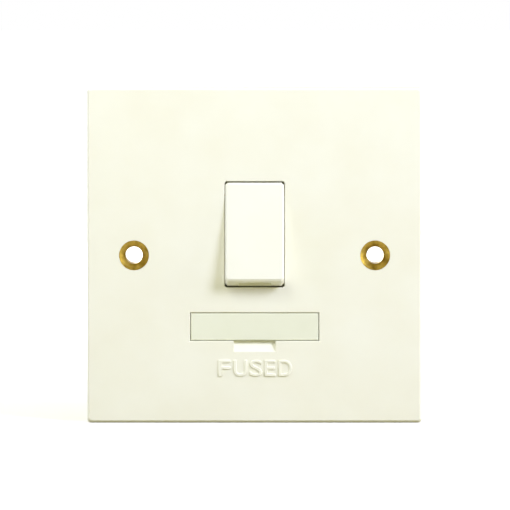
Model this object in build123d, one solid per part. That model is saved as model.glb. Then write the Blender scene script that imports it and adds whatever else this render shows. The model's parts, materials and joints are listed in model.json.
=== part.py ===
from build123d import *
import math
import os

# A moulded one-gang switched fused connection unit, in millimetres.
# Seen from the room, +X is right, +Z is up and +Y goes into the wall.
# The origin is half way between the two fixing holes, in the plane of the plate's back rim.

# Faceplate moulding
plate_side = 84.0
plate_depth = 9.0
face_thickness = 2.6
rim_thickness = 2.2
plate_corner_radius = 0.8
plate_edge_chamfer = 0.5
plate_draft = 1.0
aperture_edge_chamfer = 0.15
stiffener_width = 1.2
stiffener_height = 1.2
stiffener_inset = 9.0

# Fixing holes, each lined with a rolled brass eyelet
fixing_spacing = 60.3
eyelet_bore_radius = 2.15
eyelet_tube_wall = 0.5
eyelet_mouth_radius = 3.7
eyelet_lip_depth = 0.4
eyelet_sink = 0.1
eyelet_clearance = 0.05
eyelet_flange_radius = 4.2
eyelet_flange_thickness = 0.5
boss_wall = 1.9

# Earth strap that links the two eyelets and the earth pillars
earth_strap_thickness = 0.8
earth_leg_width = 4.6
earth_bar_width = 4.5
earth_eye_margin = 0.2

# Rocker, its pivot and its opening in the face
rocker_height = 5.25
rocker_width = 14.7
rocker_side_gap = 0.15
rocker_aperture_height = 26.5
rocker_end_gap = 0.2
rocker_face_reach = 4.4
rocker_skirt_reach = 2.0
rocker_wall = 1.5
rocker_edge_chamfer = 0.4
rocker_corner_chamfer = 0.6
rocker_aperture_chamfer = 0.4
rocker_tilt = 10.0
pivot_inset = 2.3
trunnion_radius = 1.2
trunnion_length = 1.5
trunnion_clearance = 0.05
trunnion_end_gap = 0.2
cheek_wall = 1.2
cheek_half_height = 3.0
cheek_height = 1.9
end_recess_width = 8.1
end_recess_depth = 0.85
end_recess_start = 1.5
end_recess_length = 3.0
stem_half_height = 2.6
stem_half_width = 6.5
stem_reach = 5.5

# Sprung plungers in the rocker, one for each pole
pole_offset = 4.0
plunger_radius = 1.3
plunger_clearance = 0.2
plunger_shank_start = 2.4
plunger_tip_reach = 10.2
plunger_nose_length = 1.0
plunger_nose_radius = 0.35
spring_bore_start = -1.6
spring_wire = 0.32
spring_turns = 4
spring_points_per_turn = 8

# See-saw contact arms and their contacts
arm_thickness = 0.9
arm_width = 4.0
arm_half_length = 8.2
arm_bend = 12.0
arm_nose_gap = 0.15
arm_lug_height = 1.3
arm_lug_clearance = 0.1
ear_gap = 0.1
ear_thickness = 0.8
ear_half_height = 1.7
ear_rise = 0.9
contact_side = 3.0
contact_reach = 7.0
arm_contact_thickness = 0.85
fixed_contact_thickness = 0.95
closed_contact_gap = 0.05
stop_post_width = 1.0
stop_post_height = 1.6
stop_gap = 0.1

# Flat brass straps in the floor of the rear housing
strap_thickness = 0.8
strap_width = 2.6
strap_wide = 3.6
strap_clearance = 0.25
strap_wall_gap = 0.3
pad_margin = 0.15
pad_pole_gap = 3.0

# Terminal blocks and their screws
block_width = 7.5
block_height = 7.5
block_depth = 8.0
block_edge = 0.4
block_clearance = 0.2
wire_bore_radius = 2.1
wire_bore_inset = 3.4
earth_terminal_offset = 6.0
terminal_screw_radius = 1.75
terminal_screw_clearance = 0.1
terminal_screw_rise = 0.5
screw_tip_gap = 0.2
slot_width = 0.7
slot_depth = 0.7

# Rear housing moulding
tray_boss_gap = 0.55
tray_wall = 2.0
inner_wall = 1.2
floor_thickness = 1.8
housing_seat_gap = 0.2
housing_corner_radius = 1.5
chamber_side_gap = 0.6
chamber_end_gap = 0.3
keeper_side_gap = 0.15
barrier_thickness = 1.6
barrier_front_gap = 1.3
bank_front_gap = 0.2
well_lip = 0.7
well_core_wall = 1.4
well_side_wall = 3.05
tower_wall = 1.6

# Screws that hold the rear housing to the plate
housing_screw_z = 3.5
post_radius = 3.0
post_length = 5.4
post_bore_radius = 1.5
post_bore_end = 0.2
tube_radius = 3.25
tube_bore_radius = 1.7
tube_wall_gap = 0.15
housing_screw_radius = 1.4
housing_screw_tip_gap = 0.71
housing_head_radius = 2.75
housing_head_thickness = 1.5

# Cartridge fuse, its carrier and its clips
fuse_height = -17.9
fuse_length = 25.4
fuse_cap_radius = 3.175
fuse_cap_length = 6.0
fuse_cap_wall = 0.25
fuse_tube_clearance = 0.08
fuse_axis_inset = 5.4
carrier_panel_margin = 0.8
carrier_edge_margin = 0.25
carrier_side_gap = 0.15
carrier_edge_gap = 0.12
carrier_sink = 0.2
carrier_panel_thickness = 1.8
carrier_edge_radius = 0.3
carrier_cheek_gap = 0.3
carrier_cheek_thickness = 2.2
carrier_lug_reach = 0.6
carrier_lug_length = 1.0
carrier_floor_gap = 0.4
saddle_half_width = 5.0
saddle_grip = 1.0
saddle_clearance = 0.15
fuse_chamber_half_height = 4.3
fuse_chamber_side_gap = 0.3
clip_end_inset = 2.5
clip_width = 4.0
clip_thickness = 0.5
clip_gap = 0.1
clip_past_axis = 0.6
clip_flare = 0.35
clip_flare_length = 0.8
clip_bend_radius = 0.8
notch_half_width = 5.25
notch_height = 2.75
notch_depth = 1.7

# Depths that follow from the sizes above
face_y = -plate_depth
inner_y = face_y + face_thickness
pivot_y = face_y + pivot_inset
arm_half_thickness = arm_thickness / 2
arm_apex_half = arm_half_thickness / math.cos(math.radians(arm_bend))
arm_axis_y = pivot_y + plunger_tip_reach + arm_nose_gap + arm_apex_half
arm_back_y = arm_axis_y + arm_half_thickness
fixed_contact_y = arm_back_y + arm_contact_thickness + closed_contact_gap
strap_front_y = fixed_contact_y + fixed_contact_thickness
floor_y = strap_front_y + strap_thickness
floor_back_y = floor_y + floor_thickness
block_back_y = floor_y + block_depth
housing_back_y = block_back_y + well_lip
housing_front_y = inner_y + housing_seat_gap
wire_bore_y = floor_y + wire_bore_inset
earth_back_y = -eyelet_flange_thickness
earth_front_y = earth_back_y - earth_strap_thickness
bank_front_y = earth_back_y + bank_front_gap
post_end_y = inner_y + post_length
barrier_front_y = pivot_y + stem_reach + barrier_front_gap
fuse_axis_y = face_y + fuse_axis_inset
carrier_front_y = face_y + carrier_sink
carrier_back_y = carrier_front_y + carrier_panel_thickness
carrier_end_y = strap_front_y - carrier_floor_gap
lug_front_y = carrier_end_y - carrier_lug_length

# Widths and heights that follow from the sizes above
fixing_x = fixing_spacing / 2
eyelet_tube_radius = eyelet_bore_radius + eyelet_tube_wall
boss_radius = eyelet_tube_radius + eyelet_clearance + boss_wall
rocker_half_width = rocker_width / 2
aperture_half_width = rocker_half_width + rocker_side_gap
aperture_half_height = rocker_aperture_height / 2
rocker_end_radius = aperture_half_height - rocker_end_gap
trunnion_end_x = rocker_half_width + trunnion_length
slot_end_x = trunnion_end_x + trunnion_end_gap
cheek_end_x = slot_end_x + cheek_wall
chamber_half_width = rocker_half_width + chamber_side_gap
chamber_wall_x = chamber_half_width + inner_wall
chamber_half_height = aperture_half_height + chamber_end_gap
chamber_top = rocker_height + chamber_half_height
chamber_bottom = rocker_height - chamber_half_height
tray_top = chamber_top + inner_wall
inner_top = tray_top - tray_wall
tray_half_width = fixing_x - boss_radius - tray_boss_gap
inner_half_width = tray_half_width - tray_wall
carrier_cheek_x = fuse_length / 2 + carrier_cheek_gap
carrier_cheek_end_x = carrier_cheek_x + carrier_cheek_thickness
carrier_half_width = carrier_cheek_end_x + carrier_panel_margin
carrier_half_height = fuse_cap_radius + carrier_edge_margin
clip_offset = fuse_length / 2 - clip_end_inset
lug_end_x = carrier_half_width + carrier_side_gap + carrier_lug_reach
fuse_chamber_half_width = lug_end_x + fuse_chamber_side_gap
fuse_chamber_top = fuse_height + fuse_chamber_half_height
fuse_chamber_bottom = fuse_height - fuse_chamber_half_height
feed_block_bottom = tray_top + 2 * block_clearance
feed_block_top = feed_block_bottom + block_height
bank_top = feed_block_top + well_lip
load_block_top = fuse_chamber_bottom - inner_wall - block_clearance
load_block_bottom = load_block_top - block_height
tray_bottom = load_block_bottom - well_lip
inner_bottom = tray_bottom + tray_wall
well_half_width = block_width / 2 + block_clearance
outer_terminal_offset = tray_half_width - well_side_wall - well_half_width
fixed_contact_z = rocker_height + contact_reach
fuse_tube_radius = fuse_cap_radius - fuse_cap_wall - fuse_tube_clearance
corridor_top = chamber_bottom - inner_wall - strap_clearance
corridor_bottom = fuse_chamber_top + inner_wall + strap_clearance
housing_screw_x = inner_half_width - tube_radius - tube_wall_gap
housing_screw_places = [(-housing_screw_x, housing_screw_z), (housing_screw_x, housing_screw_z)]


def facing(depth):
    """Sketch plane at a depth into the wall, seen from the room: local x is right, local y is up."""
    return Plane(origin=(0, depth, 0), x_dir=(1, 0, 0), z_dir=(0, -1, 0))


def slab(outline, front, back):
    """An outline drawn as seen from the room, made solid between two depths."""
    return extrude(facing(back) * outline, amount=back - front)


def bar(profile, left, right):
    """A side profile drawn with depth as local x and height as local y, made solid from left to right."""
    plane = Plane(origin=(left, 0, 0), x_dir=(0, 1, 0), z_dir=(1, 0, 0))
    return extrude(plane * profile, amount=right - left)


def area(left, right, bottom, top, corner=0.0):
    """Rectangle between four edges, with rounded corners where a radius is given."""
    width, height = right - left, top - bottom
    shape = RectangleRounded(width, height, corner) if corner else Rectangle(width, height)
    return Pos((left + right) / 2, (bottom + top) / 2) * shape


def rod(radius, start, end):
    """Round bar between two points."""
    along = Vector(*end) - Vector(*start)
    return extrude(Plane(origin=start, z_dir=along) * Circle(radius), amount=along.length)


def turned(points, x, z):
    """A closed outline of (radius, depth) points, turned about the line into the wall at x and z."""
    outline = make_face(Polyline(*points, close=True))
    return Pos(x, 0, z) * revolve(outline, Axis.Y)


def outline_of(*points):
    """Flat face inside straight lines between the points."""
    return make_face(Polyline(*points, close=True))


def flipped(sketch):
    """The mirror image of an outline, left for right."""
    return mirror(sketch, Plane.YZ)


def on_rocker(shape):
    """Moves a shape drawn about the rocker's pivot, with the face level, to its place when switched off."""
    return Pos(0, pivot_y, rocker_height) * Rotation(-rocker_tilt, 0, 0) * shape


def on_arm(shape):
    """Moves a shape drawn about a contact arm's axis to its place when switched off."""
    return Pos(0, arm_axis_y, rocker_height) * Rotation(arm_bend, 0, 0) * shape


# Faceplate


def eyelet_outline(growth):
    """Outer (radius, depth) points of an eyelet's mouth and tube, from the mouth to the boss's end."""
    mouth_y = face_y + eyelet_sink
    cone_end_y = mouth_y + eyelet_lip_depth + eyelet_mouth_radius - eyelet_tube_radius
    return [
        (eyelet_mouth_radius + growth, mouth_y + eyelet_lip_depth + growth),
        (eyelet_tube_radius + growth, cone_end_y + growth),
    ]


def eyelet_seat(x):
    """Space that an eyelet takes in the plate: a shallow cylinder, a cone and a straight hole."""
    lip, neck = eyelet_outline(eyelet_clearance)
    points = [(0, face_y - 1), (lip[0], face_y - 1), lip, neck, (neck[0], 0), (0, 0)]
    return turned(points, x, 0)


def plate_stiffeners():
    """Low ribs behind the face, in a square just inside the rim, with cross ribs to the rim."""
    inside = plate_side / 2 - stiffener_inset
    edge = plate_side / 2 - rim_thickness
    ring = Rectangle(2 * inside, 2 * inside)
    ring -= Rectangle(2 * (inside - stiffener_width), 2 * (inside - stiffener_width))
    half = stiffener_width / 2
    for side in (-1, 1):
        for place in (-inside / 2, inside / 2):
            ring += area(place - half, place + half, side * (inside + edge) / 2 - (edge - inside) / 2,
                         side * (inside + edge) / 2 + (edge - inside) / 2)
    return slab(ring, inner_y, inner_y + stiffener_height)


def bearing_cheeks():
    """Blocks beside the rocker's opening that carry its trunnions."""
    low, high = rocker_height - cheek_half_height, rocker_height + cheek_half_height
    right = slab(area(aperture_half_width, cheek_end_x, low, high), inner_y, inner_y + cheek_height)
    return right + mirror(right, Plane.YZ)


def bearing_slots():
    """U slots for the trunnions, open to the back and to the rocker's opening."""
    radius = trunnion_radius + trunnion_clearance
    back_y = inner_y + cheek_height
    profile = Pos(pivot_y, rocker_height) * Circle(radius)
    profile += area(pivot_y, back_y, rocker_height - radius, rocker_height + radius)
    return bar(profile, -slot_end_x, slot_end_x)


def pull_notch():
    """Sloping scoop below the fuse carrier, deep at the carrier, for a screwdriver blade."""
    top = fuse_height - carrier_half_height
    bottom = fuse_height - carrier_half_height - carrier_edge_gap - notch_height
    slope = outline_of((face_y, top), (face_y + notch_depth, top), (face_y, bottom))
    return bar(slope, -notch_half_width, notch_half_width)


def plate_section(depth, inset):
    """The plate's outline at a depth, drawn in by the rim's draft and by a further inset."""
    side = plate_side + 2 * depth * math.tan(math.radians(plate_draft)) - 2 * inset
    return facing(depth) * RectangleRounded(side, side, plate_corner_radius)


def make_front_plate():
    """One moulding: flat face, drafted rim, bosses, posts, bearing cheeks and low stiffening ribs."""
    edge_y = face_y + plate_edge_chamfer
    sections = [plate_section(0, 0), plate_section(edge_y, 0), plate_section(face_y, plate_edge_chamfer)]
    plate = loft(sections, ruled=True)
    hollow = Rectangle(plate_side - 2 * rim_thickness, plate_side - 2 * rim_thickness)
    plate -= extrude(facing(0) * hollow, amount=-inner_y, taper=plate_draft)
    plate += plate_stiffeners() + bearing_cheeks()

    low, high = rocker_height - aperture_half_height, rocker_height + aperture_half_height
    opening = area(-aperture_half_width, aperture_half_width, low, high)
    opening = chamfer(opening.vertices(), rocker_aperture_chamfer)
    carrier_half = carrier_half_width + carrier_side_gap
    carrier_edge = carrier_half_height + carrier_edge_gap
    opening += area(-carrier_half, carrier_half, fuse_height - carrier_edge, fuse_height + carrier_edge)
    plate -= slab(opening, face_y, inner_y)
    mouth = plate.faces().filter_by(Axis.Y).sort_by(Axis.Y)[0]
    plate = chamfer([edge for wire in mouth.inner_wires() for edge in wire.edges()], aperture_edge_chamfer)

    for side in (-1, 1):
        plate += rod(boss_radius, (side * fixing_x, inner_y, 0), (side * fixing_x, earth_front_y, 0))
    for x, z in housing_screw_places:
        plate += rod(post_radius, (x, inner_y, z), (x, post_end_y, z))
        plate -= rod(post_bore_radius, (x, inner_y + post_bore_end, z), (x, post_end_y, z))
    for side in (-1, 1):
        plate -= eyelet_seat(side * fixing_x)
    return plate - bearing_slots() - pull_notch()


def make_eyelet(side):
    """Rolled brass tube with a countersunk mouth in the face and a flange behind the earth strap."""
    lip, neck = eyelet_outline(0)
    mouth_y = face_y + eyelet_sink
    cone_y = mouth_y + lip[0] - eyelet_bore_radius
    points = [
        (eyelet_bore_radius, 0),
        (eyelet_bore_radius, cone_y),
        (lip[0], mouth_y),
        lip,
        neck,
        (neck[0], earth_back_y),
        (eyelet_flange_radius, earth_back_y),
        (eyelet_flange_radius, 0),
    ]
    return turned(points, side * fixing_x, 0)


def make_earth_strap():
    """Flat brass strap: an eye at each fixing hole, two legs and a bar across the earth pillars."""
    bar_middle = (feed_block_bottom + feed_block_top) / 2
    bar_top = bar_middle + earth_bar_width / 2
    leg_half = earth_leg_width / 2
    outline = area(-fixing_x - leg_half, fixing_x + leg_half, bar_middle - earth_bar_width / 2, bar_top)
    for side in (-1, 1):
        centre = side * fixing_x
        outline += Pos(centre, 0) * Circle(eyelet_flange_radius + earth_eye_margin)
        outline += area(centre - leg_half, centre + leg_half, 0, bar_top)
    for side in (-1, 1):
        outline -= Pos(side * fixing_x, 0) * Circle(eyelet_tube_radius + eyelet_clearance)
    return slab(outline, earth_front_y, earth_back_y)


# Rocker and plungers


def rocker_profile(inset):
    """Side outline about the pivot: a level face and two round ends, drawn in by the inset."""
    end_radius = rocker_end_radius - inset
    front = -rocker_face_reach + inset
    back = rocker_skirt_reach
    disc = Circle(end_radius)
    return disc & area(front, back, -end_radius, end_radius)


def end_recesses():
    """Shallow blind pockets in the two round ends."""
    start = -rocker_face_reach + end_recess_start
    ring = Circle(rocker_end_radius + 1) - Circle(rocker_end_radius - end_recess_depth)
    reach = rocker_end_radius + 1
    ring &= area(start, start + end_recess_length, -reach, reach)
    return bar(ring, -end_recess_width / 2, end_recess_width / 2)


def make_rocker():
    """Hollow rocker with trunnions, round ends and a stem that holds the two plungers."""
    body = bar(rocker_profile(0), -rocker_half_width, rocker_half_width)
    body = chamfer(body.edges().filter_by(GeomType.CIRCLE), rocker_corner_chamfer)
    body = chamfer(body.faces().sort_by(Axis.Y)[0].edges(), rocker_edge_chamfer)
    cavity_half = rocker_half_width - rocker_wall
    body -= bar(rocker_profile(rocker_wall), -cavity_half, cavity_half)
    front = -rocker_face_reach + rocker_wall / 2
    stem = area(-stem_half_width, stem_half_width, -stem_half_height, stem_half_height)
    body += slab(stem, front, stem_reach)
    for side in (-1, 1):
        x = side * pole_offset
        bore_radius = plunger_radius + plunger_clearance
        body -= rod(bore_radius, (x, spring_bore_start, 0), (x, stem_reach, 0))
        body += rod(trunnion_radius, (side * rocker_half_width, 0, 0), (side * trunnion_end_x, 0, 0))
    body -= end_recesses()
    return on_rocker(body)


def make_plunger(side):
    """Pin with a coned nose that slides in the rocker's stem."""
    points = [
        (0, plunger_shank_start),
        (plunger_radius, plunger_shank_start),
        (plunger_radius, plunger_tip_reach - plunger_nose_length),
        (plunger_nose_radius, plunger_tip_reach),
        (0, plunger_tip_reach),
    ]
    return on_rocker(turned(points, side * pole_offset, 0))


def make_plunger_spring(side):
    """Coil spring of square wire in short straight lengths, from the bottom of its bore to the plunger."""
    coil_radius = plunger_radius - spring_wire / 2
    start = spring_bore_start + spring_wire
    height = plunger_shank_start - spring_wire - start
    count = spring_turns * spring_points_per_turn
    turn = 2 * math.pi / spring_points_per_turn
    path = Polyline(*[
        (coil_radius * math.cos(i * turn), start + height * i / count, coil_radius * math.sin(i * turn))
        for i in range(count + 1)
    ])
    section = Plane(origin=path @ 0, z_dir=path % 0) * Rectangle(spring_wire, spring_wire)
    coil = sweep(section, path=path, transition=Transition.RIGHT)
    return on_rocker(Pos(side * pole_offset, 0, 0) * coil)


# Contact arms and contacts


def arm_profile():
    """Shallow V about the arm's axis, with both ends bent towards the rocker."""
    bend = math.radians(arm_bend)
    end_y, end_z = -arm_half_length * math.sin(bend), arm_half_length * math.cos(bend)
    step_y, step_z = arm_half_thickness * math.cos(bend), arm_half_thickness * math.sin(bend)
    return outline_of(
        (-arm_apex_half, 0),
        (end_y - step_y, end_z - step_z),
        (end_y + step_y, end_z + step_z),
        (arm_apex_half, 0),
        (end_y + step_y, -end_z - step_z),
        (end_y - step_y, -end_z + step_z),
    )


def make_contact_arm(side):
    """See-saw blade stamped from strip, with a flat lug on each side of its middle."""
    x = side * pole_offset
    half_width = arm_width / 2
    lug_end = half_width + ear_gap + ear_thickness
    lug_half = arm_lug_height / 2
    arm = bar(arm_profile(), x - half_width, x + half_width)
    lugs = area(-arm_half_thickness, arm_half_thickness, -lug_half, lug_half)
    return on_arm(arm + bar(lugs, x - lug_end, x + lug_end))


def make_arm_contact(side):
    """Square silver pad on the back of the arm's upper half."""
    half = contact_side / 2
    pad = slab(area(-half, half, contact_reach - half, contact_reach + half),
               arm_half_thickness, arm_half_thickness + arm_contact_thickness)
    return on_arm(Pos(side * pole_offset, 0, 0) * Rotation(arm_bend, 0, 0) * pad)


def make_feed_contact(side):
    """Square silver pad on the feed strap, behind the arm's contact."""
    x = side * pole_offset
    half = contact_side / 2
    pad = area(x - half, x + half, fixed_contact_z - half, fixed_contact_z + half)
    return slab(pad, fixed_contact_y, strap_front_y)


# Straps in the housing's floor


def feed_strap_outline():
    """Right-hand feed strap: contact pad, cross run and riser behind the feed block."""
    half = contact_side / 2 + strap_clearance
    top = inner_top - strap_wall_gap
    riser_half = strap_wide / 2
    outline = area(pole_offset - half, pole_offset + half, fixed_contact_z - half, top)
    outline += area(pole_offset - half, outer_terminal_offset + riser_half, top - strap_wide, top)
    return outline + area(outer_terminal_offset - riser_half, outer_terminal_offset + riser_half,
                          top - strap_wide, feed_block_top)


def pivot_strap_head():
    """Right-hand pad under the arm's ears, with the run down to the corridor below the switch."""
    half = strap_width / 2
    ear_end = arm_width / 2 + ear_gap + ear_thickness
    outline = area(pole_offset - ear_end, pole_offset + ear_end,
                   rocker_height - ear_half_height, rocker_height + ear_half_height)
    return outline + area(pole_offset - half, pole_offset + half, corridor_bottom, rocker_height)


def load_pad(start):
    """Right-hand pad behind a load block, from the given x to the strap's outer edge."""
    top = fuse_chamber_bottom - inner_wall - strap_clearance
    outer = outer_terminal_offset + block_width / 2 - pad_margin
    return area(start, outer, load_block_bottom + pad_margin, top)


def clip_pad():
    """Right-hand pad that carries a fuse clip."""
    half = strap_wide / 2
    low, high = fuse_height - half, fuse_height + half
    return area(clip_offset - half, clip_offset + half, low, high)


def neutral_pivot_outline():
    """From the neutral arm's ears, out below the switch and down to the neutral load block."""
    half = strap_width / 2
    outer = inner_half_width - strap_wall_gap
    inner = fuse_chamber_half_width + inner_wall + strap_wall_gap
    outline = pivot_strap_head()
    outline += area(pole_offset - half, outer, corridor_bottom, corridor_top)
    outline += area(inner, outer, load_block_bottom + block_height / 2, corridor_top)
    return outline + load_pad(clip_offset + strap_wide / 2 + pad_pole_gap)


def live_pivot_outline():
    """From the live arm's ears, out below the switch and down to the supply clip."""
    clip_half = strap_wide / 2
    outline = pivot_strap_head() + clip_pad()
    outline += area(pole_offset - strap_width / 2, clip_offset + clip_half, corridor_bottom, corridor_top)
    outline += area(clip_offset - clip_half, clip_offset + clip_half, fuse_height, corridor_top)
    return flipped(outline)


def load_live_outline():
    """From the load clip, down under the fuse and across to the live load block."""
    half = strap_wide / 2
    top = fuse_chamber_bottom - inner_wall - strap_clearance
    outline = clip_pad() + area(clip_offset - half, clip_offset + half, top - strap_wide, fuse_height)
    outline += area(-outer_terminal_offset, clip_offset + half, top - strap_wide, top)
    return outline + flipped(load_pad(clip_offset + half + pad_pole_gap))


def strap_outlines():
    """Every flat strap in the floor, by name."""
    return {
        "live_feed_strap": flipped(feed_strap_outline()),
        "neutral_feed_strap": feed_strap_outline(),
        "live_pivot_strap": live_pivot_outline(),
        "neutral_pivot_strap": neutral_pivot_outline(),
        "load_live_strap": load_live_outline(),
    }


def pivot_ears(side):
    """Two ears folded up from a pivot strap, each with a U slot that the arm's lug rocks in."""
    slot_radius = math.hypot(arm_half_thickness, arm_lug_height / 2) + arm_lug_clearance
    front_y = arm_axis_y - ear_rise
    profile = area(front_y, strap_front_y, rocker_height - ear_half_height, rocker_height + ear_half_height)
    profile -= area(front_y, arm_axis_y, rocker_height - slot_radius, rocker_height + slot_radius)
    profile -= Pos(arm_axis_y, rocker_height) * Circle(slot_radius)
    inner = arm_width / 2 + ear_gap
    x = side * pole_offset
    ears = bar(profile, x + inner, x + inner + ear_thickness)
    return ears + bar(profile, x - inner - ear_thickness, x - inner)


# Fuse, clips and carrier


def make_fuse_clip(side):
    """Sprung U clip of folded strip with flared mouths, on its strap."""
    half = fuse_cap_radius + clip_gap + clip_thickness / 2
    mouth_y = fuse_axis_y - clip_past_axis
    base_y = strap_front_y - clip_thickness / 2
    path = FilletPolyline(
        (mouth_y - clip_flare_length, fuse_height + half + clip_flare),
        (mouth_y, fuse_height + half),
        (base_y, fuse_height + half),
        (base_y, fuse_height - half),
        (mouth_y, fuse_height - half),
        (mouth_y - clip_flare_length, fuse_height - half - clip_flare),
        radius=clip_bend_radius,
    )
    x = side * clip_offset
    return bar(trace(path, line_width=clip_thickness), x - clip_width / 2, x + clip_width / 2)


def make_fuse_cap(side):
    """Plated cup pressed on one end of the fuse's tube."""
    end = side * fuse_length / 2
    inner_end = side * (fuse_length / 2 - fuse_cap_length)
    cap = rod(fuse_cap_radius, (inner_end, fuse_axis_y, fuse_height), (end, fuse_axis_y, fuse_height))
    floor = side * (fuse_length / 2 - 2 * fuse_cap_wall)
    bore = fuse_cap_radius - fuse_cap_wall
    return cap - rod(bore, (inner_end, fuse_axis_y, fuse_height), (floor, fuse_axis_y, fuse_height))


def make_fuse_tube():
    """Ceramic body between the two caps."""
    half = fuse_length / 2 - 2 * fuse_cap_wall
    return rod(fuse_tube_radius, (-half, fuse_axis_y, fuse_height), (half, fuse_axis_y, fuse_height))


def make_fuse_carrier():
    """Flush drawer front with a saddle that grips the fuse and two cheeks with stop lugs."""
    low, high = fuse_height - carrier_half_height, fuse_height + carrier_half_height
    panel = slab(area(-carrier_half_width, carrier_half_width, low, high), carrier_front_y, carrier_back_y)
    panel = fillet(panel.faces().sort_by(Axis.Y)[0].edges(), carrier_edge_radius)
    groove_radius = fuse_tube_radius + saddle_clearance
    saddle = area(carrier_back_y, fuse_axis_y + saddle_grip, low, high)
    saddle -= Pos(fuse_axis_y, fuse_height) * Circle(groove_radius)
    carrier = panel + bar(saddle, -saddle_half_width, saddle_half_width)
    for side in (-1, 1):
        near, far = sorted((side * carrier_cheek_x, side * carrier_cheek_end_x))
        carrier += slab(area(near, far, low, high), carrier_back_y, carrier_end_y)
        near, far = sorted((side * carrier_cheek_end_x, side * lug_end_x))
        lug_half = carrier_half_height / 2
        lug = area(near, far, fuse_height - lug_half, fuse_height + lug_half)
        carrier += slab(lug, lug_front_y, carrier_end_y)
    return carrier


# Terminals and screws


def terminal_places():
    """Block name to (x, bottom z, front depth)."""
    return {
        "live_feed_terminal": (-outer_terminal_offset, feed_block_bottom, floor_y),
        "neutral_feed_terminal": (outer_terminal_offset, feed_block_bottom, floor_y),
        "earth_terminal_left": (-earth_terminal_offset, feed_block_bottom, earth_back_y),
        "earth_terminal_right": (earth_terminal_offset, feed_block_bottom, earth_back_y),
        "live_load_terminal": (-outer_terminal_offset, load_block_bottom, floor_y),
        "neutral_load_terminal": (outer_terminal_offset, load_block_bottom, floor_y),
    }


def make_terminal(x, bottom, front):
    """Brass block with a wire bore from top to bottom and a clamping screw's hole from the back."""
    half = block_width / 2
    top = bottom + block_height
    block = slab(area(x - half, x + half, bottom, top), front, block_back_y)
    block = chamfer(block.edges().filter_by(Axis.Y), block_edge)
    block -= rod(wire_bore_radius, (x, wire_bore_y, bottom), (x, wire_bore_y, top))
    middle = (bottom + top) / 2
    hole_radius = terminal_screw_radius + terminal_screw_clearance
    return block - rod(hole_radius, (x, wire_bore_y, middle), (x, block_back_y, middle))


def driver_slot(x, z, back, radius):
    """Slot across the back end of a screw."""
    outline = area(x - radius, x + radius, z - slot_width / 2, z + slot_width / 2)
    return slab(outline, back - slot_depth, back)


def make_terminal_screws():
    """The six headless clamping screws."""
    tip = wire_bore_y + wire_bore_radius + screw_tip_gap
    back = block_back_y + terminal_screw_rise
    screws = []
    for x, bottom, front in terminal_places().values():
        z = bottom + block_height / 2
        screw = rod(terminal_screw_radius, (x, tip, z), (x, back, z))
        screws.append(screw - driver_slot(x, z, back, terminal_screw_radius))
    return Compound(children=screws)


def make_housing_screws():
    """The two cheese-head screws that draw the rear housing on to the plate's posts."""
    back = floor_back_y + housing_head_thickness
    tip = inner_y + post_bore_end + housing_screw_tip_gap
    screws = []
    for x, z in housing_screw_places:
        screw = rod(housing_screw_radius, (x, tip, z), (x, floor_back_y, z))
        screw += rod(housing_head_radius, (x, floor_back_y, z), (x, back, z))
        screws.append(screw - driver_slot(x, z, back, housing_head_radius))
    return Compound(children=screws)


# Rear housing


def switch_walls():
    """Chamber round the rocker and arms, with keeper posts that close the trunnion slots."""
    outer = area(-chamber_wall_x, chamber_wall_x, chamber_bottom - inner_wall, tray_top)
    ring = outer - area(-chamber_half_width, chamber_half_width, chamber_bottom, chamber_top)
    walls = slab(ring, housing_front_y, floor_y)
    cheek_back_y = inner_y + cheek_height + housing_seat_gap
    cheek_half = cheek_half_height + housing_seat_gap
    gate = area(-chamber_wall_x, chamber_wall_x, rocker_height - cheek_half, rocker_height + cheek_half)
    walls -= slab(gate, housing_front_y, cheek_back_y)
    keeper_end = slot_end_x - keeper_side_gap
    keeper_half = trunnion_radius + trunnion_clearance - keeper_side_gap
    for side in (-1, 1):
        near, far = sorted((side * chamber_half_width, side * keeper_end))
        keeper = area(near, far, rocker_height - keeper_half, rocker_height + keeper_half)
        walls += slab(keeper, pivot_y + trunnion_radius + trunnion_clearance, floor_y)
    half = barrier_thickness / 2
    return walls + slab(area(-half, half, chamber_bottom, chamber_top), barrier_front_y, floor_y)


def stop_posts():
    """Small posts that each arm's lower end rests on when switched off."""
    top = rocker_height - arm_half_length + stop_post_height
    bottom = rocker_height - arm_half_length
    half = arm_width / 2
    posts = []
    for side in (-1, 1):
        for way in (-1, 1):
            x = side * pole_offset + way * half
            outline = area(x - stop_post_width / 2, x + stop_post_width / 2, bottom, top)
            posts.append(slab(outline, arm_back_y + stop_gap, floor_y))
    return posts


def fuse_walls():
    """Chamber that the fuse carrier slides in."""
    outer_x = fuse_chamber_half_width + inner_wall
    ring = area(-outer_x, outer_x, fuse_chamber_bottom - inner_wall, fuse_chamber_top + inner_wall)
    ring -= area(-fuse_chamber_half_width, fuse_chamber_half_width, fuse_chamber_bottom, fuse_chamber_top)
    return slab(ring, housing_front_y, floor_y)


def screw_tubes():
    """Round pillars for the housing screws, each webbed to the side wall."""
    tubes = []
    for x, z in housing_screw_places:
        tubes.append(rod(tube_radius, (x, post_end_y, z), (x, floor_y, z)))
        near, far = sorted((x, math.copysign(inner_half_width, x)))
        tubes.append(slab(area(near, far, z - inner_wall / 2, z + inner_wall / 2), post_end_y, floor_y))
    return tubes


def terminal_bank():
    """Block above the tray, and over its top wall, for the two feed blocks and the two earth pillars."""
    over_wall = area(-tray_half_width, tray_half_width, inner_top, bank_top)
    above = area(-tray_half_width, tray_half_width, tray_top, bank_top)
    return slab(over_wall, floor_back_y, housing_back_y) + slab(above, bank_front_y, floor_back_y)


def load_towers():
    """Blocks behind the tray's floor that hold the two load blocks."""
    inner = outer_terminal_offset - well_half_width - tower_wall
    outline = area(inner, tray_half_width, tray_bottom, fuse_chamber_bottom)
    outline += flipped(outline)
    return slab(outline, floor_y, housing_back_y)


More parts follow.
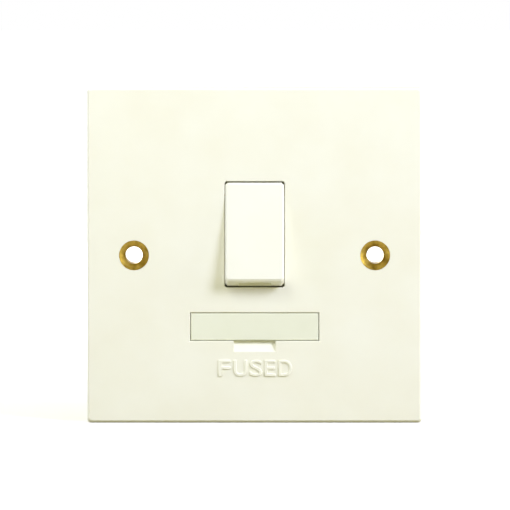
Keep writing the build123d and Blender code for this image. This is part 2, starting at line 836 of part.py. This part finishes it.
def terminal_wells():
    """Spaces for the terminal blocks, open to the back and to the wire's side."""
    wells = []
    for x, bottom, front in terminal_places().values():
        start = front - strap_clearance if front < floor_y else front
        if bottom == feed_block_bottom:
            outline = area(x - well_half_width, x + well_half_width, bottom - block_clearance, bank_top)
        else:
            top = bottom + block_height + block_clearance
            outline = area(x - well_half_width, x + well_half_width, tray_bottom, top)
        wells.append(slab(outline, start, housing_back_y))
    return wells


def bank_cores():
    """Pockets in the front of the bank that keep its walls even."""
    back = strap_front_y - strap_clearance - well_core_wall
    low, high = tray_top + inner_wall, bank_top - inner_wall
    right = area(outer_terminal_offset - well_half_width, outer_terminal_offset + well_half_width, low, high)
    return slab(right + flipped(right), bank_front_y, back)


def make_rear_housing():
    """Tray behind the plate with chambers for the switch and fuse, and wells for the terminals."""
    tray = slab(area(-tray_half_width, tray_half_width, tray_bottom, tray_top, housing_corner_radius),
                housing_front_y, floor_back_y)
    inside = area(-inner_half_width, inner_half_width, inner_bottom, inner_top)
    tray -= slab(inside, housing_front_y, floor_y)
    tray += switch_walls()
    above = area(-chamber_half_width, chamber_half_width, inner_top, chamber_top)
    tray -= slab(above, housing_front_y, floor_y)
    half = barrier_thickness / 2
    tray += slab(area(-half, half, inner_top, chamber_top), barrier_front_y, floor_y)
    tray += fuse_walls()
    tray += stop_posts()
    tray += screw_tubes()
    tray += terminal_bank() + load_towers()
    tray -= terminal_wells()
    tray -= bank_cores()
    for outline in strap_outlines().values():
        tray -= slab(offset(outline, amount=strap_clearance, kind=Kind.INTERSECTION),
                     strap_front_y - strap_clearance, floor_y)
    for x, z in housing_screw_places:
        tray -= rod(tube_bore_radius, (x, post_end_y, z), (x, floor_back_y, z))
    return tray


# All pieces, by name


def make_pieces():
    """Every separate piece of the unit, switched off and with the fuse carrier home."""
    pieces = {
        "front_plate": make_front_plate(),
        "rear_housing": make_rear_housing(),
        "housing_screws": make_housing_screws(),
        "left_eyelet": make_eyelet(-1),
        "right_eyelet": make_eyelet(1),
        "earth_strap": make_earth_strap(),
        "rocker": make_rocker(),
        "fuse_carrier": make_fuse_carrier(),
        "fuse_tube": make_fuse_tube(),
        "fuse_cap_left": make_fuse_cap(-1),
        "fuse_cap_right": make_fuse_cap(1),
        "fuse_clip_supply": make_fuse_clip(-1),
        "fuse_clip_load": make_fuse_clip(1),
        "terminal_screws": make_terminal_screws(),
    }
    for name, outline in strap_outlines().items():
        pieces[name] = slab(outline, strap_front_y, floor_y)
    for pole, side in (("live", -1), ("neutral", 1)):
        pieces[f"{pole}_pivot_strap"] += pivot_ears(side)
        pieces[f"{pole}_plunger"] = make_plunger(side)
        pieces[f"{pole}_plunger_spring"] = make_plunger_spring(side)
        pieces[f"{pole}_contact_arm"] = make_contact_arm(side)
        pieces[f"{pole}_arm_contact"] = make_arm_contact(side)
        pieces[f"{pole}_feed_contact"] = make_feed_contact(side)
    for name, place in terminal_places().items():
        pieces[name] = make_terminal(*place)
    return pieces


os.makedirs("parts", exist_ok=True)
for name, shape in make_pieces().items():
    export_step(shape, f"parts/{name}.step")
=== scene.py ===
import json
import math

import bmesh
import bpy
from mathutils import Matrix, Vector


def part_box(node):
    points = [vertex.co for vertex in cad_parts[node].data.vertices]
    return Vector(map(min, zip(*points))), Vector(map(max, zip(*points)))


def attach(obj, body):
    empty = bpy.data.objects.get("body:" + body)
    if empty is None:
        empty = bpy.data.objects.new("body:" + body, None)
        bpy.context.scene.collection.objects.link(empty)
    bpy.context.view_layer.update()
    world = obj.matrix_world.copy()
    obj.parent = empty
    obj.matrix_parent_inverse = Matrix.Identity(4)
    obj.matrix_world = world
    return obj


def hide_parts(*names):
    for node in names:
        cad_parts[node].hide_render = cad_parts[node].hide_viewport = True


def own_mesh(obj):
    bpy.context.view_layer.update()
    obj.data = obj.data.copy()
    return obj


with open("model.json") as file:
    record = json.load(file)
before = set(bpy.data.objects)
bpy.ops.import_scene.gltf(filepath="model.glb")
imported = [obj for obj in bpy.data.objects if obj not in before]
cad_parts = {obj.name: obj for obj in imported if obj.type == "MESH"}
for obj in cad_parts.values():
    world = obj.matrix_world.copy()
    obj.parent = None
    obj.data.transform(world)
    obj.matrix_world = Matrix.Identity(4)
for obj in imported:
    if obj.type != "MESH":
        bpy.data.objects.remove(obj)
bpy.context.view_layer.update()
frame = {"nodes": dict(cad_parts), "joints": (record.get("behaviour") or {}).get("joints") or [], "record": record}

# A moulded one-gang switched fused connection unit, standing on a pale studio floor.
# Metres throughout; +X is right and +Z up seen from the room, +Y goes into the wall.

MM = 0.001
NODES = frame["nodes"]
BODIES = frame["record"]["behaviour"]["bodies"]
HOUSING = next(body for body, nodes in BODIES.items() if "front_plate" in nodes)

plate_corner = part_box("front_plate")[0]
FACE_Y = plate_corner.y
FLOOR_Z = plate_corner.z
eyelet_low, eyelet_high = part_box("left_eyelet")
EYELET_X = -(eyelet_low.x + eyelet_high.x) / 2


# Colours, nodes and surfaces


def linear(code):
    """An sRGB hex colour as the linear values that a shader takes."""
    channels = [int(code[i:i + 2], 16) / 255 for i in (1, 3, 5)]
    return [c / 12.92 if c <= 0.04045 else ((c + 0.055) / 1.055) ** 2.4 for c in channels] + [1.0]


def per_metre(size_mm):
    """Pattern scale whose features are about this many millimetres across."""
    return 1 / (size_mm * MM)


def add(tree, kind, inputs=None, **settings):
    """Adds a node; inputs maps a socket's name or number to a value or to another node's output."""
    node = tree.nodes.new(kind)
    for key, value in settings.items():
        setattr(node, key, value)
    for key, value in (inputs or {}).items():
        if isinstance(value, bpy.types.NodeSocket):
            tree.links.new(value, node.inputs[key])
        else:
            node.inputs[key].default_value = value
    return node


def new_material(name):
    """An empty material with its node tree and the coordinates of the object that wears it."""
    material = bpy.data.materials.new(name)
    material.use_nodes = True
    tree = material.node_tree
    tree.nodes.clear()
    return material, tree, add(tree, "ShaderNodeTexCoord").outputs["Object"]


def surface(tree, tone, fine, colours, spread, roughness, relief_mm, constants):
    """Skin whose colour follows one pattern, and whose roughness and relief follow a finer one."""
    shade = add(tree, "ShaderNodeValToRGB", {"Fac": tone.outputs["Fac"]})
    for element, position, colour in zip(shade.color_ramp.elements, spread, colours):
        element.position = position
        element.color = linear(colour)
    smoothest, roughest = roughness
    rough_inputs = {"Value": fine.outputs["Fac"], "To Min": smoothest, "To Max": roughest}
    rough = add(tree, "ShaderNodeMapRange", rough_inputs)
    relief = add(tree, "ShaderNodeBump", {"Height": fine.outputs["Fac"], "Distance": relief_mm * MM})
    shader = add(tree, "ShaderNodeBsdfPrincipled", {
        "Base Color": shade.outputs["Color"],
        "Roughness": rough.outputs["Result"],
        "Normal": relief.outputs["Normal"],
        **constants,
    })
    add(tree, "ShaderNodeOutputMaterial", {"Surface": shader.outputs["BSDF"]})


# Materials. Real moulding grain, rolling lines and turned rings are far finer than a pixel,
# so the fine pattern of each material is drawn only as coarse as it needs to be to show.


def moulding(name, colours, roughness, cloud_mm, grain_mm, relief_mm, ior):
    """Pressed plastic or fired clay: faint flow clouds in an even body, under a fine grain."""
    material, tree, place = new_material(name)
    clouds = add(tree, "ShaderNodeTexNoise", {"Vector": place, "Scale": per_metre(cloud_mm), "Detail": 3.0})
    grain = add(tree, "ShaderNodeTexNoise", {"Vector": place, "Scale": per_metre(grain_mm), "Detail": 2.0})
    surface(tree, clouds, grain, colours, (0.3, 0.7), roughness, relief_mm, {"IOR": ior})
    return material


LINE_STRETCH = 30


def drawn_brass(name, colours, roughness, line_mm, along, bloom_mm=3.0, relief_mm=0.004):
    """Rolled sheet or drawn bar: long lines along one axis and a dull bloom in patches."""
    material, tree, place = new_material(name)
    scale = [per_metre(line_mm)] * 3
    scale["XYZ".index(along)] /= LINE_STRETCH
    stretched = add(tree, "ShaderNodeMapping", {"Vector": place, "Scale": scale}).outputs["Vector"]
    lines = add(tree, "ShaderNodeTexNoise", {"Vector": stretched, "Scale": 1.0, "Detail": 3.0})
    bloom = add(tree, "ShaderNodeTexNoise", {"Vector": place, "Scale": per_metre(bloom_mm), "Detail": 5.0})
    surface(tree, bloom, lines, colours, (0.35, 0.75), roughness, relief_mm, {"Metallic": 1.0})
    return material


def spun_brass(name, colours, roughness, ring_mm, bloom_mm=1.6, relief_mm=0.01):
    """Lining of a fixing hole: fine rings round the hole, with a brown bloom in patches."""
    material, tree, place = new_material(name)
    axes = add(tree, "ShaderNodeSeparateXYZ", {"Vector": place}).outputs
    side = add(tree, "ShaderNodeMath", {0: axes["X"]}, operation="ABSOLUTE").outputs[0]
    across = add(tree, "ShaderNodeMath", {0: side, 1: EYELET_X}, operation="SUBTRACT").outputs[0]
    flat = add(tree, "ShaderNodeCombineXYZ", {"X": across, "Z": axes["Z"]}).outputs["Vector"]
    radius = add(tree, "ShaderNodeVectorMath", {0: flat}, operation="LENGTH").outputs["Value"]
    turned = add(tree, "ShaderNodeCombineXYZ", {"X": radius, "Y": axes["Y"]}).outputs["Vector"]
    rings = add(tree, "ShaderNodeTexNoise", {"Vector": turned, "Scale": per_metre(ring_mm), "Detail": 1.0})
    bloom = add(tree, "ShaderNodeTexNoise", {"Vector": place, "Scale": per_metre(bloom_mm), "Detail": 4.0})
    surface(tree, bloom, rings, colours, (0.35, 0.7), roughness, relief_mm, {"Metallic": 1.0})
    return material


def plated_metal(name, colours, roughness, grain_mm, relief_mm=0.003):
    """Electroplated steel or silver alloy: cool reflections broken by a fine even grain."""
    material, tree, place = new_material(name)
    grain = add(tree, "ShaderNodeTexNoise", {"Vector": place, "Scale": per_metre(grain_mm), "Detail": 4.0})
    surface(tree, grain, grain, colours, (0.35, 0.7), roughness, relief_mm, {"Metallic": 1.0})
    return material


# Urea-formaldehyde pressed in a polished tool: an even pale cream under a soft gloss
plate_urea = moulding(
    "plate_urea_moulding", ("#FBFAED", "#F8F6E6"), (0.29, 0.39),
    cloud_mm=14.0, grain_mm=0.35, relief_mm=0.002, ior=1.55,
)
# Another batch of the same powder: a shade greener than the plate round it
carrier_urea = moulding(
    "carrier_urea_moulding", ("#F2F4E2", "#EEF0DC"), (0.31, 0.41),
    cloud_mm=9.0, grain_mm=0.35, relief_mm=0.002, ior=1.55,
)
# Moulded polycarbonate: whiter than the plate, with a tighter highlight
rocker_polycarbonate = moulding(
    "rocker_polycarbonate", ("#FBFAEF", "#F9F8EB"), (0.19, 0.29),
    cloud_mm=10.0, grain_mm=0.4, relief_mm=0.001, ior=1.58,
)
# Filled nylon: a greyer cream with a dull, slightly grainy skin
housing_nylon = moulding(
    "housing_filled_nylon", ("#E2DFCF", "#D8D4C2"), (0.5, 0.6),
    cloud_mm=6.0, grain_mm=0.3, relief_mm=0.012, ior=1.53,
)
# Moulded acetal: nearly black and waxy, with a wide soft highlight
plunger_acetal = moulding(
    "plunger_acetal", ("#3A3A3C", "#323234"), (0.35, 0.45),
    cloud_mm=4.0, grain_mm=0.3, relief_mm=0.002, ior=1.48,
)
# Fired ceramic without a glaze: chalky off-white
fuse_ceramic = moulding(
    "fuse_fired_ceramic", ("#EFEDE4", "#E7E4D8"), (0.4, 0.5),
    cloud_mm=3.0, grain_mm=0.25, relief_mm=0.004, ior=1.6,
)

# Spun lining: rings that bend each highlight into an arc, and brown patches between them
eyelet_brass = spun_brass("eyelet_spun_brass", ("#D8BE62", "#A0863A"), (0.25, 0.4), ring_mm=0.12)
# Rolled sheet: lines that run along the strip and smear the highlights across it
strap_brass = drawn_brass("strap_rolled_brass", ("#D2B163", "#B08E45"), (0.24, 0.4), 0.15, along="X")
# Drawn bar: finer lines up the block, and a browner metal
block_brass = drawn_brass("terminal_drawn_brass", ("#CDAA58", "#AC8B42"), (0.2, 0.36), 0.12, along="Z")
# Turned rod: the brightest of the brasses
screw_brass = drawn_brass("screw_turned_brass", ("#D6B564", "#B6954B"), (0.18, 0.34), 0.12, along="X")

# Silver alloy: pale soft white with blurred reflections
contact_silver = plated_metal("contact_silver_alloy", ("#E6E4DE", "#C9C6BE"), (0.2, 0.33), grain_mm=0.2)
# Zinc plating: cool blue-grey and a little cloudy
zinc_steel = plated_metal("zinc_plated_steel", ("#C3C7CB", "#A5A9AD"), (0.27, 0.4), grain_mm=0.25)
# Nickel plating: warm grey, the sharpest reflections in the unit
nickel_plate = plated_metal("fuse_cap_nickel_plate", ("#D6D2C8", "#BEB9AD"), (0.15, 0.28), grain_mm=0.3)

FINISHES = {
    "front_plate": plate_urea,
    "fuse_carrier": carrier_urea,
    "rocker": rocker_polycarbonate,
    "rear_housing": housing_nylon,
    "fuse_tube": fuse_ceramic,
    "housing_screws": zinc_steel,
    "terminal_screws": screw_brass,
}
# The first of these words that is found in a node's name gives its material
FINISH_BY_WORD = [
    ("plunger_spring", zinc_steel),
    ("plunger", plunger_acetal),
    ("eyelet", eyelet_brass),
    ("terminal", block_brass),
    ("strap", strap_brass),
    ("clip", strap_brass),
    ("contact_arm", strap_brass),
    ("contact", contact_silver),
    ("fuse_cap", nickel_plate),
]


def finish_for(node):
    """The material of a CAD node, by its own name or by a word in it."""
    return FINISHES.get(node) or next(material for word, material in FINISH_BY_WORD if word in node)


for node, piece in NODES.items():
    piece.data.materials.clear()
    piece.data.materials.append(finish_for(node))


# Raised word below the fuse carrier

CAP_HEIGHT = 4.07 * MM
WORD_MIDDLE_Z = -28.25 * MM
# Share of the letter size by which each stroke is thickened
LETTER_WEIGHT = 0.012
LETTER_RISE = 0.2 * MM
LETTER_EDGE = 0.09 * MM
# Each capital with its left and right edge, in millimetres from the plate's middle
LETTERS = [("F", -9.1, -6.1), ("U", -5.25, -1.9), ("S", -1.25, 1.85), ("E", 2.45, 5.2), ("D", 6.0, 9.3)]


def letter_mesh(capital, left, right):
    """One round-edged capital, stretched between its two edges and half sunk in the face."""
    letter = bpy.data.curves.new("letter", "FONT")
    letter.body = capital
    letter.size = 1.0
    letter.offset = LETTER_WEIGHT
    letter.resolution_u = 6
    holder = bpy.data.objects.new("letter", letter)
    bpy.context.collection.objects.link(holder)
    bpy.context.view_layer.update()
    flat = bpy.data.meshes.new_from_object(holder)
    low = Vector([min(v.co[i] for v in flat.vertices) for i in range(3)])
    high = Vector([max(v.co[i] for v in flat.vertices) for i in range(3)])
    across = (right - left) / (high.x - low.x)
    up = CAP_HEIGHT / (high.y - low.y)
    letter.extrude = LETTER_RISE / up
    letter.bevel_depth = LETTER_EDGE / up
    letter.bevel_resolution = 2
    letter.offset = LETTER_WEIGHT - LETTER_EDGE / up
    bpy.context.view_layer.update()
    solid = bpy.data.meshes.new_from_object(holder)
    to_corner = Matrix.Translation((left, FACE_Y, WORD_MIDDLE_Z - CAP_HEIGHT / 2))
    upright = Matrix.Rotation(math.radians(90), 4, "X")
    stretch = Matrix.Diagonal((across, up, up, 1.0))
    solid.transform(to_corner @ upright @ stretch @ Matrix.Translation((-low.x, -low.y, 0)))
    bpy.data.meshes.remove(flat)
    bpy.data.objects.remove(holder)
    return solid


def make_word():
    """The generic function word in plain capitals, raised from the face."""
    joined = bmesh.new()
    for capital, left, right in LETTERS:
        joined.from_mesh(letter_mesh(capital, left * MM, right * MM))
    mesh = bpy.data.meshes.new("fused_letters")
    joined.to_mesh(mesh)
    joined.free()
    mesh.materials.append(plate_urea)
    word = bpy.data.objects.new("fused_letters", mesh)
    bpy.context.collection.objects.link(word)
    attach(word, HOUSING)


make_word()


# Plunger springs: round wire coils in the bores behind the plungers

COIL_RADIUS = 1.14 * MM
WIRE_RADIUS = 0.16 * MM
SPRING_LENGTH = 3.8 * MM
SPRING_TURNS = 4
STEPS_PER_TURN = 16


def make_plunger_spring(pole):
    """Coil that fills its bore behind one pole's plunger, wound along that plunger's line of travel."""
    node = pole + "_plunger_spring"
    slide = next(joint for joint in frame["joints"] if joint["name"] == pole + "_plunger_slide")
    axis = Vector(slide["axis"]).normalized()
    across = Vector((1, 0, 0))
    up = axis.cross(across)
    low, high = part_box(node)
    middle = (low + high) / 2
    steps = SPRING_TURNS * STEPS_PER_TURN
    rise = SPRING_LENGTH - 2 * WIRE_RADIUS
    coil = bpy.data.curves.new(pole + "_coil", "CURVE")
    coil.dimensions = "3D"
    coil.bevel_depth = WIRE_RADIUS
    coil.bevel_resolution = 2
    coil.use_fill_caps = True
    wire = coil.splines.new("POLY")
    wire.points.add(steps)
    for step in range(steps + 1):
        turn = 2 * math.pi * step / STEPS_PER_TURN
        outward = across * math.cos(turn) + up * math.sin(turn)
        point = middle + axis * rise * (step / steps - 0.5) + outward * COIL_RADIUS
        wire.points[step].co = (*point, 1.0)
    curve = bpy.data.objects.new(pole + "_coil", coil)
    bpy.context.collection.objects.link(curve)
    bpy.context.view_layer.update()
    mesh = bpy.data.meshes.new_from_object(curve)
    bpy.data.objects.remove(curve)
    mesh.materials.append(zinc_steel)
    spring = bpy.data.objects.new(pole + "_pressed_spring", mesh)
    bpy.context.collection.objects.link(spring)
    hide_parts(node)
    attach(spring, next(body for body, nodes in BODIES.items() if node in nodes))
    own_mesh(spring)


make_plunger_spring("live")
make_plunger_spring("neutral")


# Floor and world

FLOOR_HALF = 4.0
# The floor's own glow: its least strength, and the distances at which it starts to rise and is white
GLOW_LOW = 0.3
GLOW_NEAR = 0.05
GLOW_FAR = 0.45
ROOM_STRENGTH = 0.5


def background_share(tree, mirrored=1.0):
    """1 for what is seen straight, in a reflection or through glass, 0 for light that falls on things."""
    path = add(tree, "ShaderNodeLightPath").outputs
    glossy = add(tree, "ShaderNodeMath", {0: path["Is Glossy Ray"], 1: mirrored}, operation="MULTIPLY")
    straight = add(tree, "ShaderNodeMath", {0: path["Is Camera Ray"], 1: glossy.outputs[0]}, operation="ADD")
    inputs = {0: straight.outputs[0], 1: path["Is Transmission Ray"]}
    return add(tree, "ShaderNodeMath", inputs, operation="ADD", use_clamp=True).outputs[0]


def make_floor():
    """Pale floor that fades to white away from the object and keeps the object's shadow."""
    material, tree, place = new_material("pale_floor")
    distance = add(tree, "ShaderNodeVectorMath", {0: place}, operation="LENGTH").outputs["Value"]
    strength = add(tree, "ShaderNodeMapRange", {
        "Value": distance, "From Min": GLOW_NEAR, "From Max": GLOW_FAR, "To Min": GLOW_LOW, "To Max": 1.0,
    }).outputs["Result"]
    paint = add(tree, "ShaderNodeBsdfDiffuse", {"Color": linear("#F2F1EC")})
    glow = add(tree, "ShaderNodeEmission", {"Color": linear("#FFFFFF"), "Strength": strength})
    looks = add(tree, "ShaderNodeAddShader", {0: paint.outputs[0], 1: glow.outputs[0]})
    bounce = add(tree, "ShaderNodeBsdfDiffuse", {"Color": linear("#948F60")})
    seen = background_share(tree)
    mixed = add(tree, "ShaderNodeMixShader", {0: seen, 1: bounce.outputs[0], 2: looks.outputs[0]})
    add(tree, "ShaderNodeOutputMaterial", {"Surface": mixed.outputs[0]})
    mesh = bpy.data.meshes.new("floor")
    half = FLOOR_HALF
    corners = [(x, y, FLOOR_Z) for x, y in ((-half, -half), (half, -half), (half, half), (-half, half))]
    mesh.from_pydata(corners, [], [(0, 1, 2, 3)])
    mesh.materials.append(material)
    floor = bpy.data.objects.new("floor", mesh)
    bpy.context.collection.objects.link(floor)


def make_world():
    """White background behind the object, and a soft warm room that is lighter above than below."""
    world = bpy.data.worlds.new("studio")
    bpy.context.scene.world = world
    world.use_nodes = True
    tree = world.node_tree
    tree.nodes.clear()
    direction = add(tree, "ShaderNodeTexCoord").outputs["Generated"]
    axes = add(tree, "ShaderNodeSeparateXYZ", {"Vector": direction}).outputs
    height = add(tree, "ShaderNodeMapRange", {"Value": axes["Z"], "From Min": -0.6, "From Max": 0.6})
    behind = add(tree, "ShaderNodeMapRange", {"Value": axes["Y"], "From Min": -0.2, "From Max": 0.2})
    room = add(tree, "ShaderNodeValToRGB", {"Fac": height.outputs["Result"]})
    below, above = room.color_ramp.elements
    below.color = linear("#8A8866")
    above.color = linear("#ECECD2")
    light = add(tree, "ShaderNodeBackground", {"Color": room.outputs["Color"], "Strength": ROOM_STRENGTH})
    white = add(tree, "ShaderNodeBackground", {"Color": linear("#FFFFFF"), "Strength": 1.0})
    seen = background_share(tree, behind.outputs["Result"])
    mixed = add(tree, "ShaderNodeMixShader", {0: seen, 1: light.outputs[0], 2: white.outputs[0]})
    add(tree, "ShaderNodeOutputWorld", {"Surface": mixed.outputs[0]})


make_floor()
make_world()


# Lamps and camera

FRAME_WIDTH = 127.5 * MM
CAMERA_DISTANCE = 2.0
CAMERA_RISE = math.radians(3.0)
CAMERA_AIM = Vector((0.1 * MM, FACE_Y, 0.1 * MM))


def make_lamp(name, place, size, power, colour, mirrored=True):
    """Square soft lamp aimed at the middle of the plate, seen in bright metal or not."""
    light = bpy.data.lights.new(name, "AREA")
    light.size = size
    light.energy = power
    light.color = linear(colour)[:3]
    lamp = bpy.data.objects.new(name, light)
    lamp.location = place
    lamp.rotation_euler = (-Vector(place)).to_track_quat("-Z", "Y").to_euler()
    lamp.visible_glossy = mirrored
    bpy.context.collection.objects.link(lamp)


def make_camera():
    """Long lens a little above the plate, framed as in the photograph."""
    camera = bpy.data.cameras.new("camera")
    camera.sensor_width = 36.0
    camera.lens = camera.sensor_width * CAMERA_DISTANCE / FRAME_WIDTH
    camera.clip_start = 0.05
    camera.clip_end = 20.0
    viewer = bpy.data.objects.new("camera", camera)
    away = Vector((0, -math.cos(CAMERA_RISE), math.sin(CAMERA_RISE)))
    viewer.location = CAMERA_AIM + away * CAMERA_DISTANCE
    viewer.rotation_euler = (math.radians(90) - CAMERA_RISE, 0, 0)
    bpy.context.collection.objects.link(viewer)
    bpy.context.scene.camera = viewer


# Main light from the upper right, whose shadow falls to the lower left of the rocker
make_lamp("key", (0.54, -0.54, 0.45), 0.36, 6.5, "#E0E4FF")
# Lifts that shadow without a second highlight in the eyelets
make_lamp("left_fill", (-0.7, -0.08, 0.1), 0.4, 2.7, "#D6DAFF", mirrored=False)
# Grazes the plate's right edge and lights the lower left of each eyelet
make_lamp("right_rim", (0.58, -0.05, 0.14), 0.34, 1.4, "#FFFAE6")
# Close above the plate, so that its top is lighter than its bottom
make_lamp("overhead", (-0.11, -0.2, 0.22), 0.14, 0.31, "#FCFFF4")
# Lights the housing and the terminals when the unit is seen from behind
make_lamp("back_fill", (-0.3, 0.75, 0.16), 0.5, 2.8, "#FFFFFF")
make_camera()
bpy.context.scene.view_settings.view_transform = "Standard"
